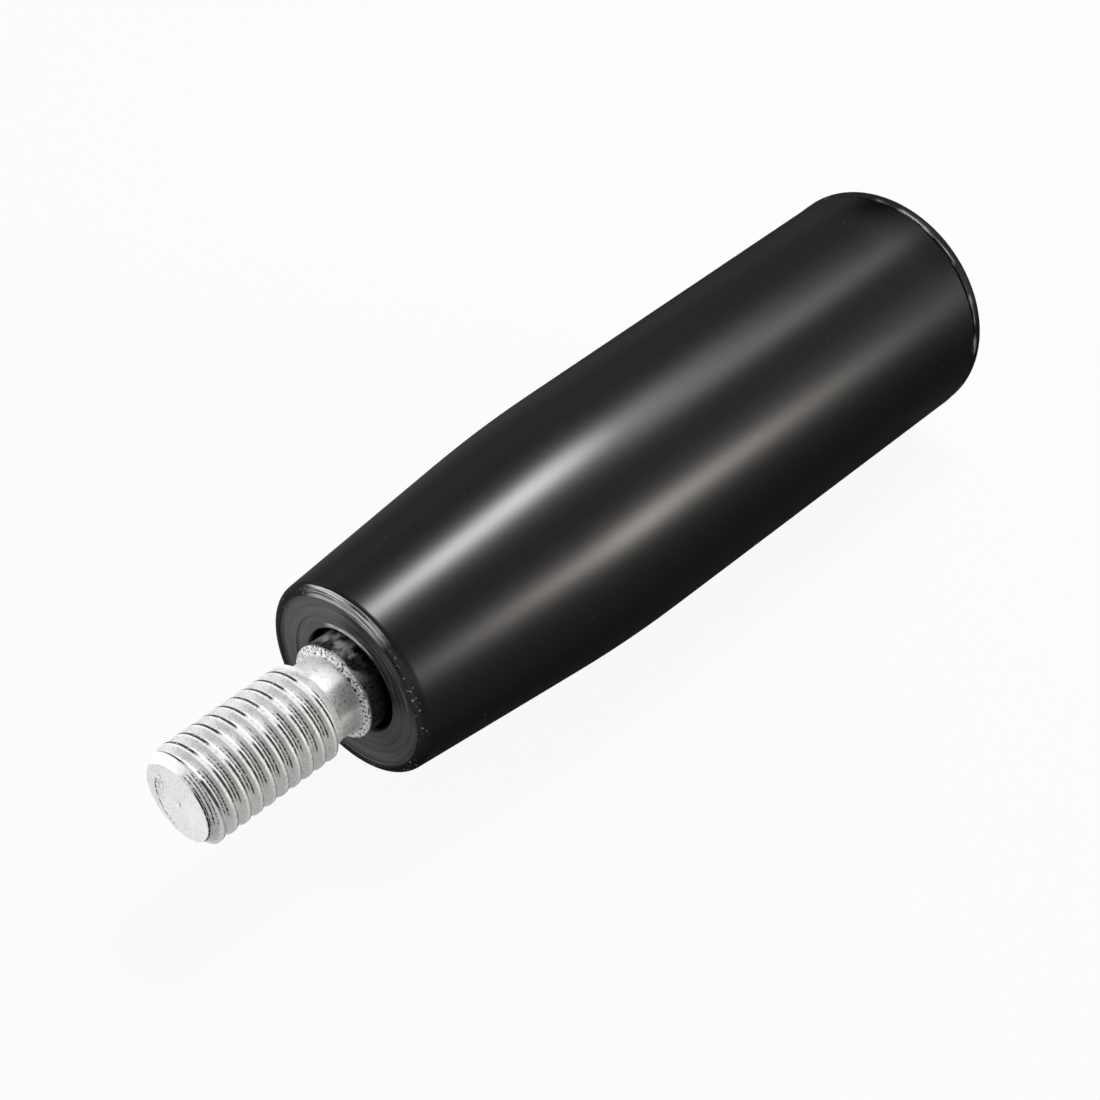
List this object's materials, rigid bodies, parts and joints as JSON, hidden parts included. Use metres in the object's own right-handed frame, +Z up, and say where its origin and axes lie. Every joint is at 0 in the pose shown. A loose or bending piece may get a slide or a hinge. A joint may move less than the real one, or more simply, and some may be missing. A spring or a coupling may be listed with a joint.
{
  "type": "revolving machine handle",
  "caption": "Black moulded grip, slim at the front and swelling to a long straight rear, that turns freely on a plated steel spindle with a threaded mounting stud.",
  "frame": {"origin": "middle of the spindle's shoulder, which seats on the crank arm or handwheel", "axes": "+X along the spindle, out from the machine through the grip; the stud points to -X; +Z up with the handle level, as on an upright handwheel"},
  "size_m": [0.1075, 0.0283, 0.0282],
  "materials": {
    "plated_steel": "bright zinc plating over turned steel",
    "grip_plastic": "glossy moulded black",
    "cap_plastic": "satin moulded black"
  },
  "bodies": {
    "spindle": {"spindle": "plated_steel"},
    "grip": {"grip": "grip_plastic", "end_cap": "cap_plastic"}
  },
  "joints": [
    {"name": "grip_turn", "type": "hinge", "parent": "spindle", "child": "grip", "pos_m": [0, 0, 0], "axis": [1, 0, 0], "continuous": true}
  ]
}
